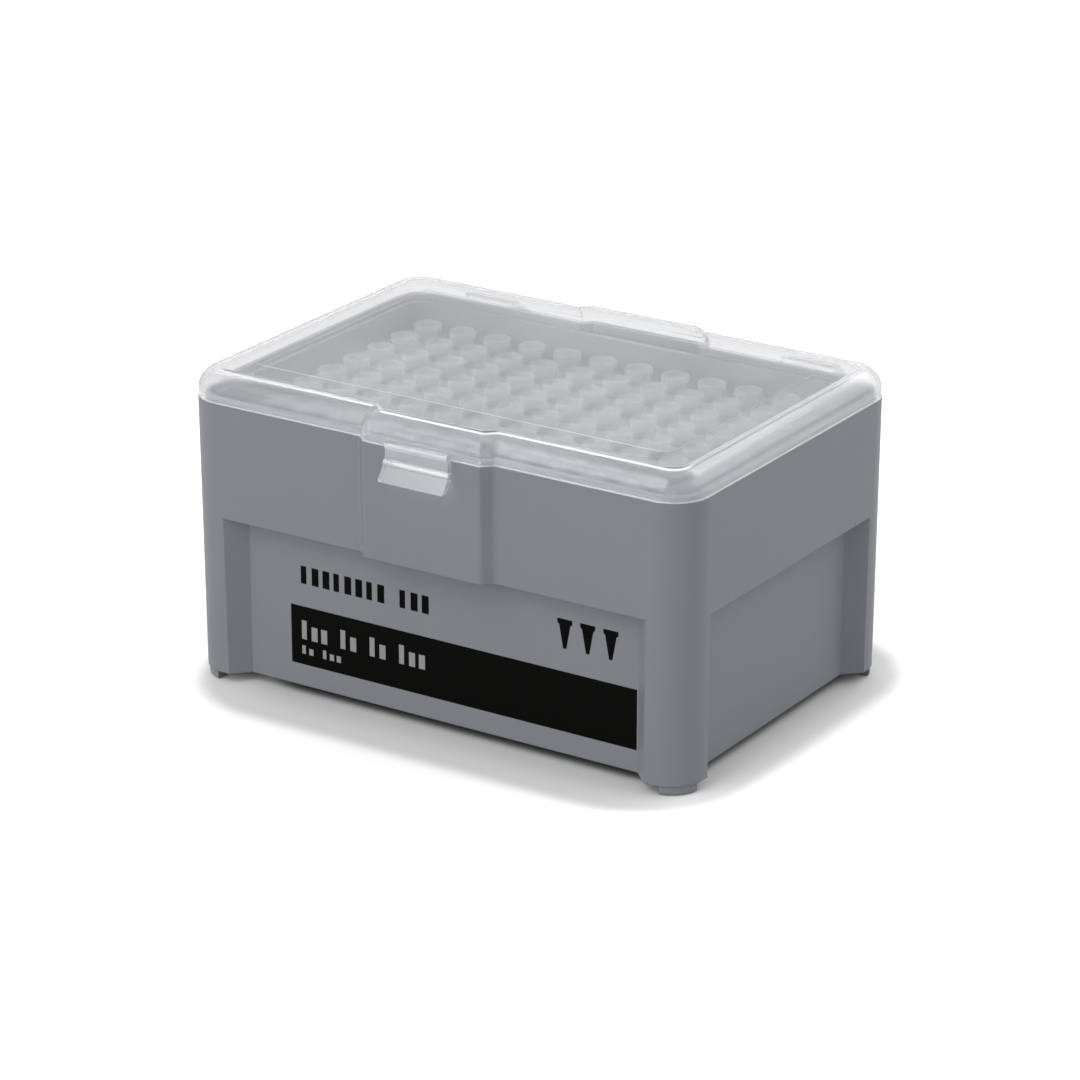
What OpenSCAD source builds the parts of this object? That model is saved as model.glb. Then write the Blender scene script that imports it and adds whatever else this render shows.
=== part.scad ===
// Hinged box of pipette tips: a drafted grey base on four corner feet, a
// drop-in rack plate that carries a 12 by 8 grid of tips, and a clear lid
// with clip-on hinge clips behind and a hinged latch in front.
// Origin: middle of the footprint on the table. +X along the long side,
// -Y is the latch side, +Z up. Millimetres.

/* [Tip grid] */
// Distance between neighbouring tips, both ways
tip_pitch = 9; // [8:0.5:12]
// From the end columns' axes to the outside of the box at its rim
end_margin = 11.25; // [9:0.25:16]
// From the outer rows' axes to the outside of the box at its rim
side_margin = 10.1; // [8.25:0.25:15]

/* [Base] */
// Height of the base's rim above the table
rim_z = 61.9; // [48:0.5:90]
// Outside corner radius at the rim
corner_r = 8; // [7:0.25:10]
// Draft of every outside face, in degrees
draft = 0.46; // [0:0.02:0.8]
// Wall of the band and of the corner posts
wall = 2.6; // [2:0.1:3.2]
// Wall of the set-back panels
panel_wall = 2; // [1.5:0.1:2.6]
// Height of the plain band below the rim
band_h = 24.95; // [18:0.5:32]
// How far the panels lie behind the posts
recess = 4.1; // [2:0.1:5]
// From the outside of the box to the side of a post
post_w = 9.2; // [8:0.2:13]
// Height of the corner feet
foot_h = 2.1; // [1:0.1:4]
// Width of a corner foot, both ways
foot_w = 6.5; // [5:0.1:9]
// How far a foot lies inside the post above it
foot_inset = 0.3; // [0.1:0.05:0.8]
// Rounding of the feet's outer lower edge
foot_r = 0.6; // [0.3:0.05:0.9]
// Thickness of the floor
floor_t = 2; // [1.5:0.1:3]
// Height of the collar that stands inside the lid's skirt
collar_h = 0.9; // [0.6:0.1:2]

/* [Front and back blocks] */
// Width of the raised block's face
block_w = 28.2; // [20:0.2:36]
// How far the block stands out of the band
block_d = 2.15; // [1.5:0.05:2.6]
// Rounding of the block's outer edges
block_r = 1.2; // [0.4:0.1:1.5]
// Radius of the hollow where a block's side meets the band
block_root_r = 1.8; // [0.6:0.1:2]

/* [Lid] */
// Height of the lid above the rim
lid_h = 6.2; // [5.6:0.1:10]
// Wall of the lid
lid_t = 1.2; // [0.9:0.05:1.5]
// Outside radius of the lid's top edge
lid_edge_r = 4.6; // [3:0.1:5]
// Gap between the lid's skirt and the collar
lid_gap = 0.15; // [0.1:0.05:0.3]
// Height of the stacking panel on the lid's top
stack_h = 0.15; // [0.1:0.05:1.2]
// Gap between the stacking panel and the feet of a box on top
stack_gap = 3.85; // [0.5:0.05:5]
// Corner radius of the stacking panel
stack_r = 3; // [2:0.1:5]

/* [Rack plate] */
// Depth of the deck below the rim
deck_drop = 6.9; // [6:0.1:9]
// Thickness of the deck
deck_t = 1.6; // [1.2:0.1:2.4]
// How far the rack's wall ends below the rim
rack_drop = 0.5; // [0.2:0.1:1]
// Wall of the rack
rack_wall = 1.2; // [0.9:0.05:1.6]
// Gap between the rack and the base
rack_gap = 0.2; // [0.1:0.05:0.4]
// Depth of the ribs under the deck
deck_rib_h = 4; // [2:0.5:8]
// Thickness of the ribs under the deck and in the base
rib_t = 1.4; // [1:0.1:2]
// How far the base's ribs stand out of the wall
rib_d = 2.4; // [2:0.1:3.2]

/* [Tips] */
// Overall length of a tip
tip_len = 31.7; // [28:0.1:40]
// Outside diameter of the tip's collar
tip_collar_d = 6; // [5.6:0.1:6.6]
// Height of the tip's collar
tip_collar_h = 1.3; // [0.8:0.1:2]
// Outside diameter of the barrel above the deck
tip_barrel_d = 5; // [4.8:0.1:5.4]
// Outside diameter of the shank in the deck
tip_shank_d = 4.2; // [4:0.05:4.4]
// How far a tip stands above the deck
tip_stand = 3.8; // [3.2:0.1:4.6]
// Bore at the mouth of a tip
tip_mouth_d = 4.2; // [3.6:0.05:4.3]
// Gap around a shank in its hole
tip_gap = 0.1; // [0.05:0.05:0.2]

/* [Hinge] */
// From the middle of the box to the middle of a hinge
hinge_x = 40; // [30:0.5:44]
// Width of a hinge clip
clip_w = 12; // [9:0.5:14]
// Radius of the hinge pins
pin_r = 1.1; // [0.9:0.05:1.2]
// Radial gap between a pin and its clip
pin_gap = 0.08; // [0.03:0.01:0.1]
// Wall of a clip around its pin
clip_t = 1.05; // [0.9:0.05:1.2]
// Gap between a clip and the lugs beside it
clip_gap = 0.3; // [0.2:0.05:0.5]
// Thickness of a hinge lug
lug_t = 1.8; // [1.5:0.1:2.4]
// Gap between a clip's back and the base's wall
hinge_back_gap = 0.55; // [0.5:0.05:0.8]
// Depth of the hinge axis below the rim
hinge_drop = 2.6; // [2.5:0.05:3.5]
// Height of a clip's arm where it joins the skirt
arm_h = 2.3; // [1.6:0.1:2.8]
// Opening through which a clip snaps over its pin
clip_mouth = 1.7; // [1.4:0.05:1.9]
// Angle at which the lid's heels meet the base
lid_open = 110; // [95:1:120]

/* [Latch] */
// Width of the latch's plate
latch_w = 15; // [10:0.2:20]
// How much wider the pull lip is, each side
lip_extra = 0.3; // [0:0.05:0.6]
// Thickness of the latch's plate
latch_t = 1.2; // [1:0.05:1.4]
// Radius of the rounded bar that the latch turns about
bar_r = 0.75; // [0.65:0.05:0.9]
// Height of that bar's axis above the rim
bar_rise = 0.9; // [0.8:0.05:1.2]
// Gap between the latch and the faces behind it
latch_gap = 0.2; // [0.15:0.05:0.3]
// From the bar's axis down to the bead
bead_drop = 3.8; // [3.4:0.1:4.6]
// From the bar's axis down to the lip's edge
lip_drop = 7; // [6:0.1:9]
// How far the lip flares out of the plate
lip_flare = 2.4; // [1.5:0.1:3]
// Rounding of the lip's lower corners
lip_r = 0.9; // [0.3:0.1:1.5]
// Radius of the catch on the front block
catch_r = 0.6; // [0.45:0.05:0.7]
// How far the catch stands out of the block's face
catch_d = 0.5; // [0.4:0.05:0.6]
// Width of the catch
catch_w = 13.5; // [6:0.5:14.5]
// Play between the catch and the groove across the latch's back
catch_play = 0.15; // [0.12:0.01:0.2]
// Thickness of the thin web that joins the latch to the lid
web_t = 0.3; // [0.25:0.05:0.5]

/* [Hidden] */
$fn = 96;
cols = 12;
rows = 8;
slope = tan(draft);
box_l = (cols - 1) * tip_pitch + 2 * end_margin;
box_w = (rows - 1) * tip_pitch + 2 * side_margin;
cx = box_l / 2 - corner_r;
cy = box_w / 2 - corner_r;
band_z = rim_z - band_h;
floor_z = foot_h + floor_t;
shelf_z = band_z + panel_wall;
block_y = box_w / 2 + block_d;
bury = 0.6;
seam = 0.002;

lid_set = 0.1;
seat_gap = 0.05;
lid_z = rim_z + seat_gap;
lid_top = rim_z + lid_h;
collar_inset = lid_set + lid_t + lid_gap;

deck_z = rim_z - deck_drop;
rack_inset = wall + rack_gap;
rack_foot_z = deck_z - deck_t - 1.4;
hole_r = tip_shank_d / 2 + tip_gap;

clip_r = pin_r + pin_gap + clip_t;
hinge_y = box_w / 2 + hinge_back_gap + clip_r;
hinge_z = rim_z - hinge_drop;

bar_y = -(block_y + latch_gap + bar_r);
bar_z = rim_z + bar_rise;
catch_y = catch_r - catch_d - block_y;
catch_z = bar_z - bead_drop;

base_grey = [0.52, 0.525, 0.54];
rack_grey = [0.60, 0.605, 0.62];
lid_clear = [0.90, 0.93, 0.95, 0.35];
tip_natural = [0.93, 0.94, 0.93, 0.8];

// ---- shared shapes ----

// Half length and half width of the outside at height z.
function half_l(z) = box_l / 2 - (rim_z - z) * slope;
function half_w(z) = box_w / 2 - (rim_z - z) * slope;

// Bar of constant section: the 2D shape's x becomes Y, its y becomes Z,
// and it runs along X for len, centred.
module along_x(len) {
    rotate([90, 0, 90]) linear_extrude(height = len, center = true) children();
}

// The same with the 2D shape's x along X, running along Y.
module along_y(len) {
    rotate([90, 0, 0]) linear_extrude(height = len, center = true) children();
}

module trapezoid(half_low, half_high, z0, z1) {
    polygon([[-half_low, z0], [half_low, z0], [half_high, z1], [-half_high, z1]]);
}

// Rounded, drafted block whose faces lie "inset" inside the box's outside.
// The corner axes stay put, so each corner is a cone; it stays a hair ("seam")
// inside the flats, because a touching union is not always solved.
module drafted_block(inset, z0, z1) {
    along_y(2 * cy) trapezoid(half_l(z0) - inset, half_l(z1) - inset, z0, z1);
    along_x(2 * cx) trapezoid(half_w(z0) - inset, half_w(z1) - inset, z0, z1);
    r0 = corner_r - seam - inset - (rim_z - z0) * slope;
    r1 = corner_r - seam - inset - (rim_z - z1) * slope;
    for (sx = [-1, 1], sy = [-1, 1])
        translate([sx * cx, sy * cy, z0]) cylinder(h = z1 - z0, r1 = r0, r2 = r1);
}

// Space in front of one set-back panel, with 45 degree ends. "grow" moves its
// faces into the wall, so the same module shapes the inside of the panel.
module panel_space(half, reach, grow) {
    side = reach - post_w + grow * sqrt(2);
    top = band_z + grow;
    out = 10;
    intersection() {
        rotate([90, 0, 90]) linear_extrude(height = 2 * side + 4 * out, center = true)
            polygon([[-half - out, -1], [-half + (rim_z + 1) * slope + recess + grow, -1],
                     [-half + (rim_z - top) * slope + recess + grow, top],
                     [-half - out, top]]);
        translate([0, 0, -1]) linear_extrude(height = top + 3)
            polygon([[-side - out, -half - out], [side + out, -half - out],
                     [side - recess - 2 * grow, -half + recess + 2 * grow],
                     [-side + recess + 2 * grow, -half + recess + 2 * grow]]);
    }
}

module panel_spaces(grow) {
    for (a = [0, 180]) rotate([0, 0, a]) {
        panel_space(box_w / 2, box_l / 2, grow);
        rotate([0, 0, 90]) panel_space(box_l / 2, box_w / 2, grow);
    }
}

// Space behind the raised blocks and the collar in front of it: plain prisms
// with 45 degree sides, "inset" inside the blocks' faces.
module block_prisms(inset, z0, z1) {
    half = block_w / 2 + inset * (1 - sqrt(2));
    deep = block_d + 1.5;
    for (a = [0, 180]) rotate([0, 0, a]) translate([0, 0, z0])
        linear_extrude(height = z1 - z0)
            polygon([[-half, inset - block_y], [half, inset - block_y],
                     [half + deep, inset - block_y + deep],
                     [-half - deep, inset - block_y + deep]]);
}

// Plan of a raised block, its face on y = 0 and the wall behind it at block_d.
// The outer edges are rounded and the sides run out of the wall in a hollow.
// The circles are a hair larger, so that they cross the lines they touch.
module block_plan() {
    half = block_w / 2;
    deep = block_d + seam;
    edge = block_r * tan(22.5);
    root = block_root_r * tan(22.5);
    difference() {
        union() {
            for (s = [0, 1]) mirror([s, 0]) {
                polygon([[-1, 0], [half - edge, 0],
                         [half + edge / sqrt(2), edge / sqrt(2)],
                         [half + deep - root / sqrt(2), deep - root / sqrt(2)],
                         [half + deep + root, deep], [half + deep + root, deep + 1.2],
                         [-1, deep + 1.2]]);
                translate([half - edge, block_r]) circle(r = block_r + seam);
            }
        }
        for (s = [0, 1]) mirror([s, 0])
            translate([half + deep + root, deep - block_root_r])
                circle(r = block_root_r + seam);
    }
}

// Raised block on the front and on the back. It leans with the draft of the
// wall it stands on.
module blocks() {
    for (a = [0, 180]) rotate([0, 0, a]) intersection() {
        translate([0, -block_y, rim_z]) rotate([draft, 0, 0])
            translate([0, 0, -band_h - 1])
                linear_extrude(height = band_h + 2) block_plan();
        translate([-box_l / 2, -block_y - 1, band_z]) cube([box_l, block_y, band_h]);
    }
}

// ---- base ----

// Half section of the feet's outside, with a rounded lower edge. "far" is the
// distance of the face from the section's axis at the table.
module foot_section(far) {
    top = foot_h + bury;
    turn = [for (a = [0 : 15 : 75]) [far + foot_r * (sin(a) - 1), foot_r * (1 - cos(a))]];
    polygon(concat([[0, 0]], turn, [[far + foot_r * slope, foot_r],
                                    [far + top * slope, top], [0, top]]));
}

module feet() {
    far_x = half_l(0) - foot_inset;
    far_y = half_w(0) - foot_inset;
    for (sx = [0, 1], sy = [0, 1]) mirror([sx, 0, 0]) mirror([0, sy, 0]) {
        intersection() {
            union() {
                translate([0, cy / 2, 0]) along_y(cy) foot_section(far_x);
                translate([cx / 2, 0, 0]) along_x(cx) foot_section(far_y);
                translate([cx, cy, 0]) rotate_extrude() foot_section(far_x - cx - seam);
            }
            translate([box_l / 2 - foot_w, box_w / 2 - foot_w, -1])
                cube([foot_w + 1, foot_w + 1, foot_h + bury + 2]);
        }
    }
}

module cavity() {
    difference() {
        drafted_block(wall, floor_z, rim_z + collar_h + 1);
        panel_spaces(panel_wall);
    }
    block_prisms(wall, shelf_z, rim_z + collar_h + 1);
}

// Ribs that stand on the shelf inside the band and carry the rack. They lie
// between other rows than the ribs under the deck.
module rack_ribs() {
    between_x = [for (i = [0, cols / 2 - 2, cols / 2, cols - 2]) tip_x(i) + tip_pitch / 2];
    between_y = [for (j = [0 : 2 : rows - 2]) tip_y(j) - tip_pitch / 2];
    difference() {
        intersection() {
            drafted_block(wall / 2, band_z + panel_wall / 2, rack_foot_z);
            union() {
                for (x = between_x) translate([x - rib_t / 2, -box_w / 2, 0])
                    cube([rib_t, box_w, rim_z]);
                for (y = between_y) translate([-box_l / 2, y - rib_t / 2, 0])
                    cube([box_l, rib_t, rim_z]);
            }
        }
        drafted_block(wall + rib_d, 0, rim_z);
    }
}

// Side view of a hinge lug: round around the pin, with a sloped gusset.
module lug_outline() {
    reach = hinge_y - box_w / 2 + 1;
    circle(r = clip_r);
    polygon([[0, clip_r], [-reach, clip_r], [-reach, -clip_r - reach + 1],
             [clip_r * 0.7, -clip_r * 0.7]]);
}

module hinge_lugs() {
    offset_x = clip_w / 2 + clip_gap + lug_t / 2;
    for (sx = [-1, 1]) translate([sx * hinge_x, hinge_y, hinge_z]) {
        for (s = [-1, 1]) translate([s * offset_x, 0, 0]) along_x(lug_t) lug_outline();
        rotate([0, 90, 0]) cylinder(h = 2 * offset_x, r = pin_r, center = true);
    }
}

// Half-round catch on the front block, which the groove behind the latch's
// bead snaps over.
module catch_rib() {
    translate([0, catch_y, catch_z]) along_x(catch_w) circle(r = catch_r);
}

module base_tub() {
    color(base_grey) {
        difference() {
            union() {
                difference() {
                    drafted_block(0, foot_h, rim_z);
                    panel_spaces(0);
                }
                blocks();
                drafted_block(collar_inset, rim_z - bury, rim_z + collar_h);
                block_prisms(collar_inset, rim_z - bury, rim_z + collar_h);
            }
            cavity();
        }
        feet();
        rack_ribs();
        hinge_lugs();
        catch_rib();
    }
}

// ---- rack plate ----

module deck_holes() {
    for (i = [0 : cols - 1], j = [0 : rows - 1])
        translate([tip_x(i), tip_y(j), deck_z - deck_t - deck_rib_h - 1])
            cylinder(h = deck_t + deck_rib_h + 2, r = hole_r, $fn = 32);
}

module rack_plate() {
    rack_top = rim_z - rack_drop;
    inside = rack_inset + rack_wall;
    color(rack_grey) difference() {
        union() {
            difference() {
                drafted_block(rack_inset, rack_foot_z, rack_top);
                drafted_block(inside, deck_z, rack_top + 1);
                drafted_block(inside, rack_foot_z - 1, deck_z - deck_t);
            }
            intersection() {
                drafted_block(inside - bury, deck_z - deck_t - deck_rib_h, deck_z - deck_t + bury);
                union() { deck_ribs(); }
            }
        }
        deck_holes();
    }
}

// Ribs under the deck, between the rows and the columns of holes.
module deck_ribs() {
    for (i = [1 : 2 : cols - 2])
        translate([tip_x(i) + tip_pitch / 2 - rib_t / 2, -box_w / 2, 0])
            cube([rib_t, box_w, rim_z]);
    for (j = [1 : 2 : rows - 2])
        translate([-box_l / 2, tip_y(j) - tip_pitch / 2 - rib_t / 2, 0])
            cube([box_l, rib_t, rim_z]);
}

// ---- tips ----

// Column i counts from the left, row j from the back.
function tip_x(i) = (i - (cols - 1) / 2) * tip_pitch;
function tip_y(j) = ((rows - 1) / 2 - j) * tip_pitch;

// Half section of one tip, its point at the origin.
module tip_section() {
    shoulder = tip_len - tip_stand;
    collar = tip_len - tip_collar_h;
    step = (tip_collar_d - tip_barrel_d) / 2;
    polygon([[0.22, 0], [0.42, 0], [0.85, 9], [1.45, shoulder - 7.5],
             [tip_shank_d / 2 - 0.15, shoulder - 6], [tip_shank_d / 2, shoulder],
             [tip_barrel_d / 2, shoulder], [tip_barrel_d / 2, collar - step],
             [tip_collar_d / 2, collar], [tip_collar_d / 2, tip_len - 0.2],
             [tip_collar_d / 2 - 0.2, tip_len], [tip_mouth_d / 2 + 0.3, tip_len],
             [tip_mouth_d / 2, tip_len - 0.5], [tip_shank_d / 2 - 0.4, shoulder - 0.5],
             [tip_shank_d / 2 - 0.5, shoulder - 5.5], [0.95, shoulder - 8], [0.4, 9]]);
}

module tips_column(number) {
    color(tip_natural) for (j = [0 : rows - 1])
        translate([tip_x(number - 1), tip_y(j), deck_z + tip_stand - tip_len])
            rotate_extrude($fn = 32) tip_section();
}

// ---- lid ----

// Half section of a wall with a rounded top edge, from the middle out to "half".
module edge_section(half, z0, z1, r) {
    translate([0, z0]) square([half, z1 - r - z0]);
    translate([0, z0]) square([half - r, z1 - z0]);
    intersection() {
        translate([half - r, z1 - r]) circle(r = r);
        translate([0, z0]) square([half + 1, z1 - z0 + 1]);
    }
}

module both_ways(half, z0, z1, r) {
    edge_section(half, z0, z1, r);
    mirror([1, 0]) edge_section(half, z0, z1, r);
}

// Rounded slab with round corners and a rounded top edge.
module lid_slab(inset, z0) {
    z1 = lid_top - inset;
    r = lid_edge_r - inset;
    hl = box_l / 2 - lid_set - inset;
    hw = box_w / 2 - lid_set - inset;
    along_x(2 * cx) both_ways(hw, z0, z1, r);
    along_y(2 * cy) both_ways(hl, z0, z1, r);
    for (sx = [-1, 1], sy = [-1, 1]) translate([sx * cx, sy * cy, 0])
        rotate_extrude() edge_section(corner_r - lid_set - inset, z0, z1, r);
}

// Bulge of the lid over the front block, and the same behind: three rounded
// walls, mitred where they meet.
module rounded_wall(angle, reach, inset, z0) {
    rotate([0, 0, angle]) along_y(box_l)
        edge_section(reach - lid_set - inset, z0, lid_top - inset, lid_edge_r - inset);
}

module lid_bulges(inset, z0) {
    side_reach = (block_w / 2 + block_y) / sqrt(2);
    for (a = [0, 180]) rotate([0, 0, a]) intersection() {
        rounded_wall(-90, block_y, inset, z0);
        rounded_wall(-45, side_reach, inset, z0);
        rounded_wall(-135, side_reach, inset, z0);
    }
}

// Raised panel that keys between the feet of a box stacked on top.
module stack_panel(inset, z0) {
    half_x = box_l / 2 - foot_w - stack_gap - inset;
    half_y = box_w / 2 - foot_w - stack_gap - inset;
    r = stack_r - inset;
    translate([0, 0, z0]) linear_extrude(height = lid_top + stack_h - inset - z0) {
        square([2 * half_x, 2 * (half_y - r)], center = true);
        square([2 * (half_x - r), 2 * half_y], center = true);
        for (sx = [-1, 1], sy = [-1, 1])
            translate([sx * (half_x - r), sy * (half_y - r)]) circle(r = r);
    }
}

// Side view of a hinge clip: an open ring that snaps over the pin, the arm
// that joins it to the skirt, and the heel that stops the lid.
module clip_outline() {
    low = hinge_drop + seat_gap;
    back = clip_r + hinge_back_gap;
    root = back + lid_set + bury;
    difference() {
        union() {
            circle(r = clip_r);
            polygon([[-root, low], [-root, low + arm_h], [-0.8, low + arm_h],
                     [clip_r, low + arm_h - 2.2], [clip_r, 0], [0, 0],
                     [-clip_r * sqrt(0.5), clip_r * sqrt(0.5)], [-clip_r, low]]);
            rotate(180 + lid_open) translate([0, -clip_t / 2])
                square([back - seat_gap, clip_t]);
        }
        circle(r = pin_r + pin_gap);
        rotate(235) translate([0, -clip_mouth / 2]) square([clip_r + 1, clip_mouth]);
    }
}

module lid() {
    web_y = block_y + latch_gap - 0.03;
    color(lid_clear) {
        difference() {
            union() {
                lid_slab(0, lid_z);
                lid_bulges(0, lid_z);
                stack_panel(0, lid_top - lid_t / 2);
            }
            lid_slab(lid_t, lid_z - 1);
            lid_bulges(lid_t, lid_z - 1);
            stack_panel(lid_t, lid_top - lid_t - 1);
        }
        for (sx = [-1, 1]) translate([sx * hinge_x, hinge_y, hinge_z])
            along_x(clip_w) clip_outline();
        translate([-latch_w / 2 + 0.5, -web_y, bar_z - web_t / 2])
            cube([latch_w - 1, web_y - block_y + bury, web_t]);
    }
}

// ---- latch ----

// Side view seen from +X, drawn from the bar's axis: x outwards, y up.
module plate_outline() {
    circle(r = bar_r);
    translate([-bar_r, -bead_drop]) square([latch_t, bead_drop]);
}

module lip_outline() {
    out = latch_t - bar_r;
    translate([out - 0.25, -bead_drop]) circle(r = bar_r);
    polygon([[-bar_r, -bead_drop + 0.6], [out, -bead_drop + 0.6], [out + 0.4, -bead_drop - 0.5],
             [out + lip_flare, -lip_drop], [out + lip_flare - 0.75, -lip_drop - 0.4],
             [-bar_r + 0.15, -bead_drop - 1], [-bar_r, -bead_drop - 0.3]]);
}

// The lip seen from the front, with rounded lower corners, its x to the right.
module lip_front() {
    half = latch_w / 2 + lip_extra;
    low = -lip_drop - 0.4;
    turn = [for (a = [0 : 15 : 90]) [half - lip_r * (1 - sin(a)), low + lip_r * (1 - cos(a))]];
    polygon(concat(turn, [[half, 0], [-half, 0]],
                   [for (i = [len(turn) - 1 : -1 : 0]) [-turn[i][0], turn[i][1]]]));
}

module latch() {
    color(lid_clear) difference() {
        translate([0, bar_y, bar_z]) {
            along_x(latch_w) mirror([1, 0]) plate_outline();
            intersection() {
                along_x(latch_w + 2 * lip_extra + 1) mirror([1, 0]) lip_outline();
                along_y(20) lip_front();
            }
        }
        translate([0, catch_y, catch_z]) along_x(latch_w + 2 * lip_extra + 2)
            circle(r = catch_r + catch_play);
    }
}

base_tub();
rack_plate();
lid();
latch();
tips_column(1);  // tips_column_01
tips_column(2);  // tips_column_02
tips_column(3);  // tips_column_03
tips_column(4);  // tips_column_04
tips_column(5);  // tips_column_05
tips_column(6);  // tips_column_06
tips_column(7);  // tips_column_07
tips_column(8);  // tips_column_08
tips_column(9);  // tips_column_09
tips_column(10);  // tips_column_10
tips_column(11);  // tips_column_11
tips_column(12);  // tips_column_12
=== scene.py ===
"""Looks of a closed box of pipette tips: grey moulded tub, clear hinged lid, latch, rack and tips.

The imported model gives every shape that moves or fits. This file gives the finishes, the print
on the front panel, the floor, the light and the camera. Everything is in metres.
"""

import math

import bmesh
import bpy
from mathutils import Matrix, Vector


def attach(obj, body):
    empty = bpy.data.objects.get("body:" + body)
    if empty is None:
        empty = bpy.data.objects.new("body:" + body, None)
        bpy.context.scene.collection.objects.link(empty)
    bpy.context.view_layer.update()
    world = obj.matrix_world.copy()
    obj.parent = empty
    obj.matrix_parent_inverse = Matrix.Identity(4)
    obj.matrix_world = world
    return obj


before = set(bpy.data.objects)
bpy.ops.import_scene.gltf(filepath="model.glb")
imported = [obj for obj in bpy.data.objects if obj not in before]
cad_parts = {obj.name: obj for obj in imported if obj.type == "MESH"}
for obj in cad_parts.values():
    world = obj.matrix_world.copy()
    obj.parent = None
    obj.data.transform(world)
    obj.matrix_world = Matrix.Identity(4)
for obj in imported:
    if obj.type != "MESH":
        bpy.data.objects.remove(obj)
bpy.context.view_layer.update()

MM = 0.001

# ---- colours, as sRGB hex ----
TUB_GREY = "#838589"
TUB_GREY_PATCH = "#86888D"
RACK_GREY = "#828489"
TIP_NATURAL = "#C6C8CB"
CLEAR = "#FDFDFE"
CLEAR_SHADE = "#F4F5F6"
INK_BLACK = "#090908"
INK_PALE = "#98989A"

# ---- real sizes of the patterns in the finishes ----
FLOW_PATCH = 18 * MM
SPARK_GRAIN = 0.35 * MM
GRAIN_DEPTH = 0.01 * MM
MOULDED_EDGE_RADIUS = 0.35 * MM
LID_STREAK = 0.7 * MM
INK_UNEVENNESS = 1.2 * MM
PRINT_THICKNESS = 0.03 * MM


def linear(hex_colour):
    """sRGB hex to the linear colour that shaders take."""
    channels = [int(hex_colour[i:i + 2], 16) / 255 for i in (1, 3, 5)]
    return [c / 12.92 if c <= 0.04045 else ((c + 0.055) / 1.055) ** 2.4 for c in channels] + [1.0]


# ---- materials ----

def new_material(name):
    """An empty node material and its tree."""
    material = bpy.data.materials.new(name)
    material.use_nodes = True
    material.node_tree.nodes.clear()
    return material, material.node_tree


def add(tree, kind, settings=None, **links):
    """Adds a node. settings go to its properties or, by name, to its input sockets; links join inputs."""
    node = tree.nodes.new("ShaderNode" + kind)
    for name, value in (settings or {}).items():
        if name in node.inputs:
            node.inputs[name].default_value = value
        else:
            setattr(node, name, value)
    for name, source in links.items():
        tree.links.new(source, node.inputs[name.replace("_", " ")])
    return node


def blend(tree, value, low, high, at_low, at_high):
    """A value that runs from at_low to at_high while the source runs from low to high."""
    node = add(tree, "MapRange", {"interpolation_type": "SMOOTHSTEP", "From Min": low, "From Max": high,
                                  "To Min": at_low, "To Max": at_high}, Value=value)
    return node.outputs["Result"]


def finish_surface(tree, shader):
    """Sends a shader to the material's surface."""
    add(tree, "OutputMaterial", None, Surface=shader)


def moulded_plastic(name, base, patch, roughness):
    """Polypropylene coloured in the mass and injection moulded: satin, in faint cloudy patches, with the
    mould's spark-eroded grain. The grain is drawn coarser than it is, so that it shows."""
    material, tree = new_material(name)
    place = add(tree, "TexCoord").outputs["Object"]
    flow = add(tree, "TexNoise", {"Scale": 1 / FLOW_PATCH, "Detail": 3.0, "Roughness": 0.5}, Vector=place)
    tone = add(tree, "Mix", {"data_type": "RGBA"})
    factor, first_colour, second_colour = tone.inputs[0], tone.inputs[6], tone.inputs[7]
    tree.links.new(flow.outputs["Fac"], factor)
    first_colour.default_value = linear(base)
    second_colour.default_value = linear(patch)
    grain = add(tree, "TexNoise", {"Scale": 1 / SPARK_GRAIN, "Detail": 2.0, "Roughness": 0.6}, Vector=place)
    gloss = add(tree, "MapRange", {"To Min": roughness - 0.03, "To Max": roughness + 0.03},
                Value=grain.outputs["Fac"])
    rounded = add(tree, "Bevel", {"samples": 6, "Radius": MOULDED_EDGE_RADIUS})
    bump = add(tree, "Bump", {"Strength": 0.12, "Distance": GRAIN_DEPTH},
               Height=grain.outputs["Fac"], Normal=rounded.outputs["Normal"])
    shader = add(tree, "BsdfPrincipled", {"IOR": 1.5, "Specular IOR Level": 0.32},
                 Base_Color=tone.outputs[2], Roughness=gloss.outputs["Result"], Normal=bump.outputs["Normal"])
    finish_surface(tree, shader.outputs["BSDF"])
    return material


# How level a face lies, from 0 for a wall to 1 for the flat roof.
WALL_LEVEL = 0.9
ROOF_LEVEL = 0.9995


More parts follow.
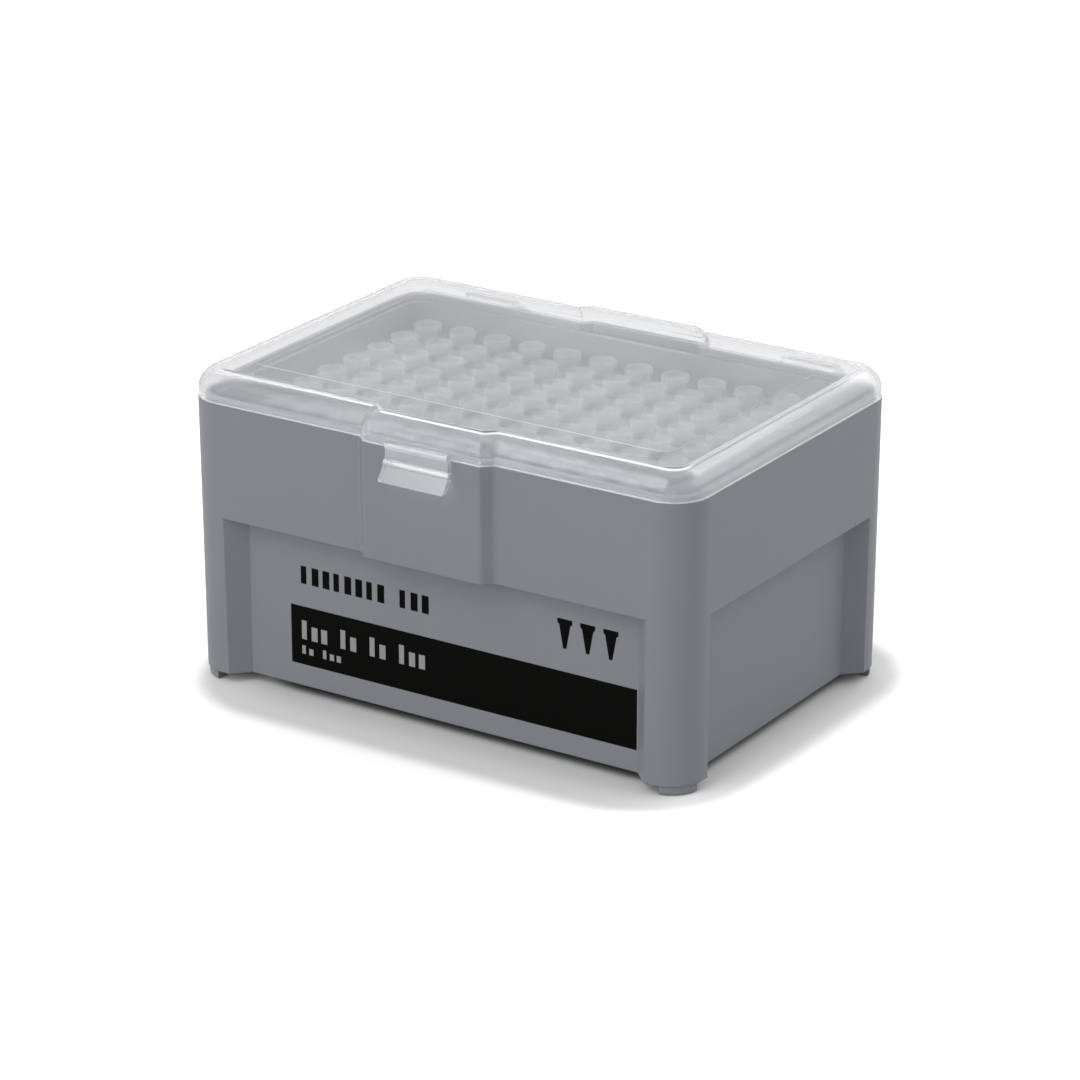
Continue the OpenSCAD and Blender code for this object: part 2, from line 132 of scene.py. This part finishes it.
def lid_details(tree, place, level, clearness, wall_clear):
    """What dims the lid's clearness: along the parting edge under the skirt, the crease round the roof and the
    low stacking step on it, milky bands draw thin pale lines as painted highlights, and the flow of the
    plastic leaves faint level streaks in the skirt."""
    height = add(tree, "SeparateXYZ", None, Vector=place).outputs["Z"]
    # Painted highlight: the walls of the low step on the roof are made very milky so they draw a pale line.
    painted_step_highlight = blend(tree, height, 68.1 * MM, 68.16 * MM, wall_clear, 0.15)
    tree.links.new(painted_step_highlight, clearness.inputs["To Min"])
    # Painted highlight: the bottom of the skirt is made milky so it draws a pale line along the parting edge.
    painted_parting_edge_highlight = blend(tree, height, 61.95 * MM, 62.06 * MM, 0.65, 1.0)
    # Painted highlight: a milky band where the roof turns into its rounded edge draws a pale crease line.
    crease = add(tree, "ValToRGB", None, Fac=level)
    stops = crease.color_ramp.elements
    for stop, (position, clarity) in zip([stops[0], stops[1], stops.new(0.5), stops.new(0.5)],
                                         [(0.98, 1.0), (1.0, 1.0), (0.988, 0.7), (0.9985, 0.7)]):
        stop.position = position
        stop.color = (clarity, clarity, clarity, 1.0)
    drawn_out = add(tree, "VectorMath", {"operation": "MULTIPLY"})
    tree.links.new(place, drawn_out.inputs[0])
    drawn_out.inputs[1].default_value = (0.02, 0.02, 1.0)
    streaks = add(tree, "TexNoise", {"Scale": 1 / LID_STREAK, "Detail": 2.0}, Vector=drawn_out.outputs[0])
    milky = blend(tree, streaks.outputs["Fac"], 0.35, 0.65, 0.95, 1.02)
    for part in (painted_parting_edge_highlight, crease.outputs["Color"], milky):
        product = add(tree, "Math", {"operation": "MULTIPLY"})
        tree.links.new(clearness.outputs[0], product.inputs[0])
        tree.links.new(part, product.inputs[1])
        clearness = product
    return clearness


def clear_plastic(name, top_clear, wall_clear, wall_rough, detailed=False):
    """Clear polypropylene from a mould with a polished roof and blasted walls: you look in from above,
    while the walls and the rounded edge are milky and smear what lies behind them."""
    material, tree = new_material(name)
    place = add(tree, "TexCoord")
    facing = add(tree, "SeparateXYZ", None, Vector=place.outputs["Normal"])
    level = add(tree, "Math", {"operation": "ABSOLUTE"})
    tree.links.new(facing.outputs["Z"], level.inputs[0])
    clearness = add(tree, "MapRange", {"From Min": WALL_LEVEL, "From Max": ROOF_LEVEL,
                                       "To Min": wall_clear, "To Max": top_clear}, Value=level.outputs[0])
    if detailed:
        clearness = lid_details(tree, place.outputs["Object"], level.outputs[0], clearness, wall_clear)
    clear = add(tree, "BsdfPrincipled", {"Base Color": linear(CLEAR), "IOR": 1.49},
                Roughness=blend(tree, level.outputs[0], WALL_LEVEL, ROOF_LEVEL, wall_rough, 0.01),
                Transmission_Weight=clearness.outputs[0])
    open_to_light = add(tree, "BsdfTransparent", {"Color": linear(CLEAR_SHADE)})
    ray = add(tree, "LightPath")
    mix = add(tree, "MixShader")
    tree.links.new(ray.outputs["Is Shadow Ray"], mix.inputs[0])
    tree.links.new(clear.outputs["BSDF"], mix.inputs[1])
    tree.links.new(open_to_light.outputs["BSDF"], mix.inputs[2])
    finish_surface(tree, mix.outputs["Shader"])
    return material


def tip_plastic(name, cover):
    """Natural polypropylene with no colour added: frosted walls of a third of a millimetre that veil the deck."""
    material, tree = new_material(name)
    shader = add(tree, "BsdfPrincipled", {"Base Color": linear(TIP_NATURAL), "Roughness": 0.7, "IOR": 1.49,
                                          "Transmission Weight": 0.35, "Alpha": cover})
    finish_surface(tree, shader.outputs["BSDF"])
    return material


def ink(name, colour, roughness):
    """Screen-printed ink: a flat film, a little uneven in gloss."""
    material, tree = new_material(name)
    place = add(tree, "TexCoord").outputs["Object"]
    film = add(tree, "TexNoise", {"Scale": 1 / INK_UNEVENNESS, "Detail": 2.0}, Vector=place)
    gloss = add(tree, "MapRange", {"To Min": roughness - 0.04, "To Max": roughness + 0.04},
                Value=film.outputs["Fac"])
    shader = add(tree, "BsdfPrincipled", {"Base Color": linear(colour), "IOR": 1.5, "Specular IOR Level": 0.03},
                 Roughness=gloss.outputs["Result"])
    finish_surface(tree, shader.outputs["BSDF"])
    return material


tub_plastic = moulded_plastic("moulded_grey_polypropylene", TUB_GREY, TUB_GREY_PATCH, 0.38)
rack_plastic = moulded_plastic("moulded_light_grey_polypropylene", RACK_GREY, RACK_GREY, 0.4)
lid_plastic = clear_plastic("clear_polypropylene", 0.99, 0.942, 0.2, detailed=True)
latch_plastic = clear_plastic("milky_clear_polypropylene", 0.91, 0.91, 0.15)
natural_plastic = tip_plastic("natural_polypropylene", 0.31)
black_ink = ink("black_screen_ink", INK_BLACK, 0.5)
pale_ink = ink("pale_screen_ink", INK_PALE, 0.5)


def dress(node, material):
    """Gives a CAD node its finish."""
    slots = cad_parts[node].data.materials
    slots.clear()
    slots.append(material)


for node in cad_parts:
    if node.startswith("tips_column"):
        dress(node, natural_plastic)
dress("base_tub", tub_plastic)
dress("rack_plate", rack_plastic)
dress("lid", lid_plastic)
dress("latch", latch_plastic)

# ---- print on the front panel ----
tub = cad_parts["base_tub"]


def panel_point(x, z):
    """The point of the front panel at x and z."""
    _, place, _, _ = tub.ray_cast(Vector((x, -1.0, z)), Vector((0, 1, 0)))
    return place


def printed_patch(name, shapes, material, layer=1):
    """One print colour: flat outlines on the panel, each a list of (x, z) in millimetres. Each film stands
    proud of the panel by its layer's thickness and reaches half as far into it."""
    mesh = bpy.data.meshes.new(name)
    build = bmesh.new()
    lift = Vector((0, -PRINT_THICKNESS * layer, 0))
    for outline in shapes:
        front = [build.verts.new(panel_point(x * MM, z * MM) + lift) for x, z in outline]
        back = [build.verts.new(v.co - lift * 1.5) for v in front]
        build.faces.new(front)
        build.faces.new(back[::-1])
        for i in range(len(front)):
            j = (i + 1) % len(front)
            build.faces.new([front[j], front[i], back[i], back[j]])
    bmesh.ops.recalc_face_normals(build, faces=build.faces)
    build.to_mesh(mesh)
    build.free()
    mesh.materials.append(material)
    piece = bpy.data.objects.new(name, mesh)
    bpy.context.scene.collection.objects.link(piece)
    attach(piece, "base")


def bar(x0, x1, z0, z1):
    """Outline of a plain rectangle."""
    return [(x0, z0), (x1, z0), (x1, z1), (x0, z1)]


def greeked(x, z, height, words, pitch, even=False):
    """Marks that stand for words without being letters: upright strokes, low and tall in turn."""
    marks = []
    for count in words:
        for i in range(count):
            wide = 0.62 if i % 3 else 0.5
            top = 1.0 if even or i % 4 in (0, 3) else 0.74
            marks.append(bar(x, x + wide * pitch, z, z + top * height))
            x += pitch
        x += pitch
    return marks


def tip_sign(x, z, height):
    """Outline of one tip, its point down: mouth, barrel and taper."""
    half, neck, point = height * 0.28, height * 0.21, height * 0.06
    return [(x - half, z + height), (x - half, z + height * 0.86), (x - neck, z + height * 0.8),
            (x - point, z), (x + point, z), (x + neck, z + height * 0.8),
            (x + half, z + height * 0.86), (x + half, z + height)]


# In millimetres from the middle of the panel and up from the floor.
TEXT_LEFT = -34.5
FIRST_SIGN, SIGN_PITCH = 30.2, 5.4

printed_patch("label_band", [bar(-37.2, 47.2, 6.9, 19.9)], black_ink)
printed_patch("label_number", greeked(TEXT_LEFT, 25.0, 3.9, [8, 3], 2.75, even=True), black_ink)
printed_patch("label_sign", [tip_sign(FIRST_SIGN + SIGN_PITCH * i, 24.9, 6.3) for i in range(3)], black_ink)
printed_patch("band_title", greeked(TEXT_LEFT, 12.6, 4.2, [3, 2, 2, 3], 2.45), pale_ink, 2)
printed_patch("band_note", greeked(TEXT_LEFT, 9.3, 1.9, [2, 3], 1.75), pale_ink, 2)

# ---- floor, light and camera ----

FLOOR_REACH = 6.0
# Where the painted shadow on the floor is centred: the floor is moved this far to the right.
PAINTED_SHADOW_CENTRE_X = 4 * MM
# The floor's whiteness far from the box, and the share of light that it gives back to the scene.
CLEARED_WHITE = 1.6
BOUNCED_WHITE = 0.6


def seen_by(tree, *kinds):
    """1 for rays of these kinds and 0 for the others."""
    ray = add(tree, "LightPath")
    seen = ray.outputs[kinds[0]]
    for kind in kinds[1:]:
        either = add(tree, "Math", {"operation": "MAXIMUM"})
        tree.links.new(seen, either.inputs[0])
        tree.links.new(ray.outputs[kind], either.inputs[1])
        seen = either.outputs[0]
    return seen


def distance_outside(tree, place, half_width, half_depth):
    """How far a place on the floor lies outside a rectangle round its origin."""
    across = add(tree, "VectorMath", {"operation": "ABSOLUTE"})
    beyond = add(tree, "VectorMath", {"operation": "SUBTRACT"})
    outside = add(tree, "VectorMath", {"operation": "MAXIMUM"})
    away = add(tree, "VectorMath", {"operation": "LENGTH"})
    beyond.inputs[1].default_value = (half_width, half_depth, 0)
    for source, step in ((place, across), (across.outputs[0], beyond),
                         (beyond.outputs[0], outside), (outside.outputs[0], away)):
        tree.links.new(source, step.inputs[0])
    return away.outputs["Value"]


def laminate():
    """White table laminate. Close to the box its colour is painted dark as a contact shadow, and it is painted up
    to plain white just past it, along a rounded outline. Mirrored and refracted views see it plain white."""
    material, tree = new_material("white_table_laminate")
    place = add(tree, "TexCoord").outputs["Object"]
    from_box = distance_outside(tree, place, 40 * MM, 25 * MM)
    # Painted shade: the colour runs from 0.8 to 0.98 as the outer part of the painted contact shadow.
    painted_penumbra = blend(tree, from_box, 13 * MM, 23 * MM, 0.8, 0.98)
    # Painted contact shadow: the colour falls to 0.15 at the box's foot.
    painted_contact_shadow = add(tree, "MapRange", {"interpolation_type": "SMOOTHSTEP", "From Min": 8.5 * MM, "From Max": 13.5 * MM,
                                  "To Min": 0.15}, Value=from_box)
    tree.links.new(painted_penumbra, painted_contact_shadow.inputs["To Max"])
    shifted = add(tree, "VectorMath", {"operation": "ADD"})
    tree.links.new(place, shifted.inputs[0])
    shifted.inputs[1].default_value = (1.5 * MM, 0, 0)
    from_outline = distance_outside(tree, shifted.outputs[0], 40 * MM, 28 * MM)
    # Painted light: past the rounded outline the colour rises to CLEARED_WHITE, which ends the box's shadow
    # there.
    painted_shadow_sweep = add(tree, "MapRange", {"interpolation_type": "SMOOTHSTEP", "From Min": 22 * MM, "From Max": 28 * MM,
                                   "To Max": CLEARED_WHITE}, Value=from_outline)
    tree.links.new(painted_contact_shadow.outputs["Result"], painted_shadow_sweep.inputs["To Min"])
    reflected = add(tree, "MapRange", {"To Min": BOUNCED_WHITE},
                    Value=seen_by(tree, "Is Glossy Ray", "Is Transmission Ray"))
    whiteness = add(tree, "MapRange", None, Value=seen_by(tree, "Is Camera Ray"))
    tree.links.new(reflected.outputs["Result"], whiteness.inputs["To Min"])
    tree.links.new(painted_shadow_sweep.outputs["Result"], whiteness.inputs["To Max"])
    shader = add(tree, "BsdfDiffuse", None, Color=whiteness.outputs["Result"])
    finish_surface(tree, shader.outputs["BSDF"])
    return material


def stage_floor():
    """A flat table far wider than the view."""
    mesh = bpy.data.meshes.new("floor")
    corners = [(-FLOOR_REACH, -FLOOR_REACH, 0), (FLOOR_REACH, -FLOOR_REACH, 0),
               (FLOOR_REACH, FLOOR_REACH, 0), (-FLOOR_REACH, FLOOR_REACH, 0)]
    mesh.from_pydata(corners, [], [(0, 1, 2, 3)])
    mesh.materials.append(laminate())
    floor = bpy.data.objects.new("floor", mesh)
    floor.location.x = PAINTED_SHADOW_CENTRE_X
    bpy.context.scene.collection.objects.link(floor)


def white_room(dome, mirrored):
    """Even light from all round. Straight views see plain white, those through or off the clear lid a
    little less."""
    world = bpy.data.worlds.new("white_room")
    bpy.context.scene.world = world
    world.use_nodes = True
    tree = world.node_tree
    tree.nodes.clear()
    reflected = add(tree, "MapRange", {"To Min": dome, "To Max": mirrored},
                    Value=seen_by(tree, "Is Glossy Ray", "Is Transmission Ray"))
    strength = add(tree, "MapRange", {"To Max": 1.0}, Value=seen_by(tree, "Is Camera Ray"))
    tree.links.new(reflected.outputs["Result"], strength.inputs["To Min"])
    sky = add(tree, "Background", {"Color": (1, 1, 1, 1)}, Strength=strength.outputs["Result"])
    add(tree, "OutputWorld", None, Surface=sky.outputs["Background"])


def softbox(name, place, aim, width, height, watts):
    """A rectangular lamp that faces what it aims at."""
    lamp = bpy.data.lights.new(name, "AREA")
    lamp.shape = "RECTANGLE"
    lamp.size = width
    lamp.size_y = height
    lamp.energy = watts
    holder = bpy.data.objects.new(name, lamp)
    holder.location = place
    holder.rotation_euler = (Vector(aim) - Vector(place)).to_track_quat("-Z", "Y").to_euler()
    bpy.context.scene.collection.objects.link(holder)


CAMERA_YAW = math.radians(32.976)
CAMERA_PITCH = math.radians(21.019)
CAMERA_DISTANCE = 0.90778
CAMERA_AIM = Vector((-0.0054, 0.00833, 0.02583))
LENS_MM = 143.1
SENSOR_MM = 36.0


def product_camera():
    """A long lens that looks down on the front and the right side of the box."""
    lens = bpy.data.cameras.new("product_camera")
    lens.lens = LENS_MM
    lens.sensor_width = SENSOR_MM
    lens.clip_start = 0.05
    camera = bpy.data.objects.new("product_camera", lens)
    back = Vector((math.sin(CAMERA_YAW) * math.cos(CAMERA_PITCH),
                   -math.cos(CAMERA_YAW) * math.cos(CAMERA_PITCH),
                   math.sin(CAMERA_PITCH)))
    camera.location = CAMERA_AIM + CAMERA_DISTANCE * back
    camera.rotation_euler = (math.pi / 2 - CAMERA_PITCH, 0, CAMERA_YAW)
    bpy.context.scene.collection.objects.link(camera)
    bpy.context.scene.camera = camera


BOX_MIDDLE = (0, 0, 0.03)
LID_MIDDLE = (0, 0, 0.06)

stage_floor()
white_room(dome=0.475, mirrored=0.9)
# Each softbox: its place, what it aims at, its width and height in metres, and its watts.
softbox("front_softbox", (-0.2, -1.0, 0.35), BOX_MIDDLE, 0.8, 0.5, 3.2)
softbox("front_high_softbox", (-0.25, -0.75, 0.9), BOX_MIDDLE, 0.8, 0.5, 3.0)
softbox("right_softbox", (0.82, 0.62, 0.6), BOX_MIDDLE, 1.3, 1.0, 3.5)
softbox("back_softbox", (0.25, 0.8, 0.85), BOX_MIDDLE, 0.9, 0.5, 2.7)
softbox("back_strip", (-0.55, 0.65, 0.68), LID_MIDDLE, 0.5, 0.05, 0.4)
product_camera()
bpy.context.scene.view_settings.view_transform = "Standard"
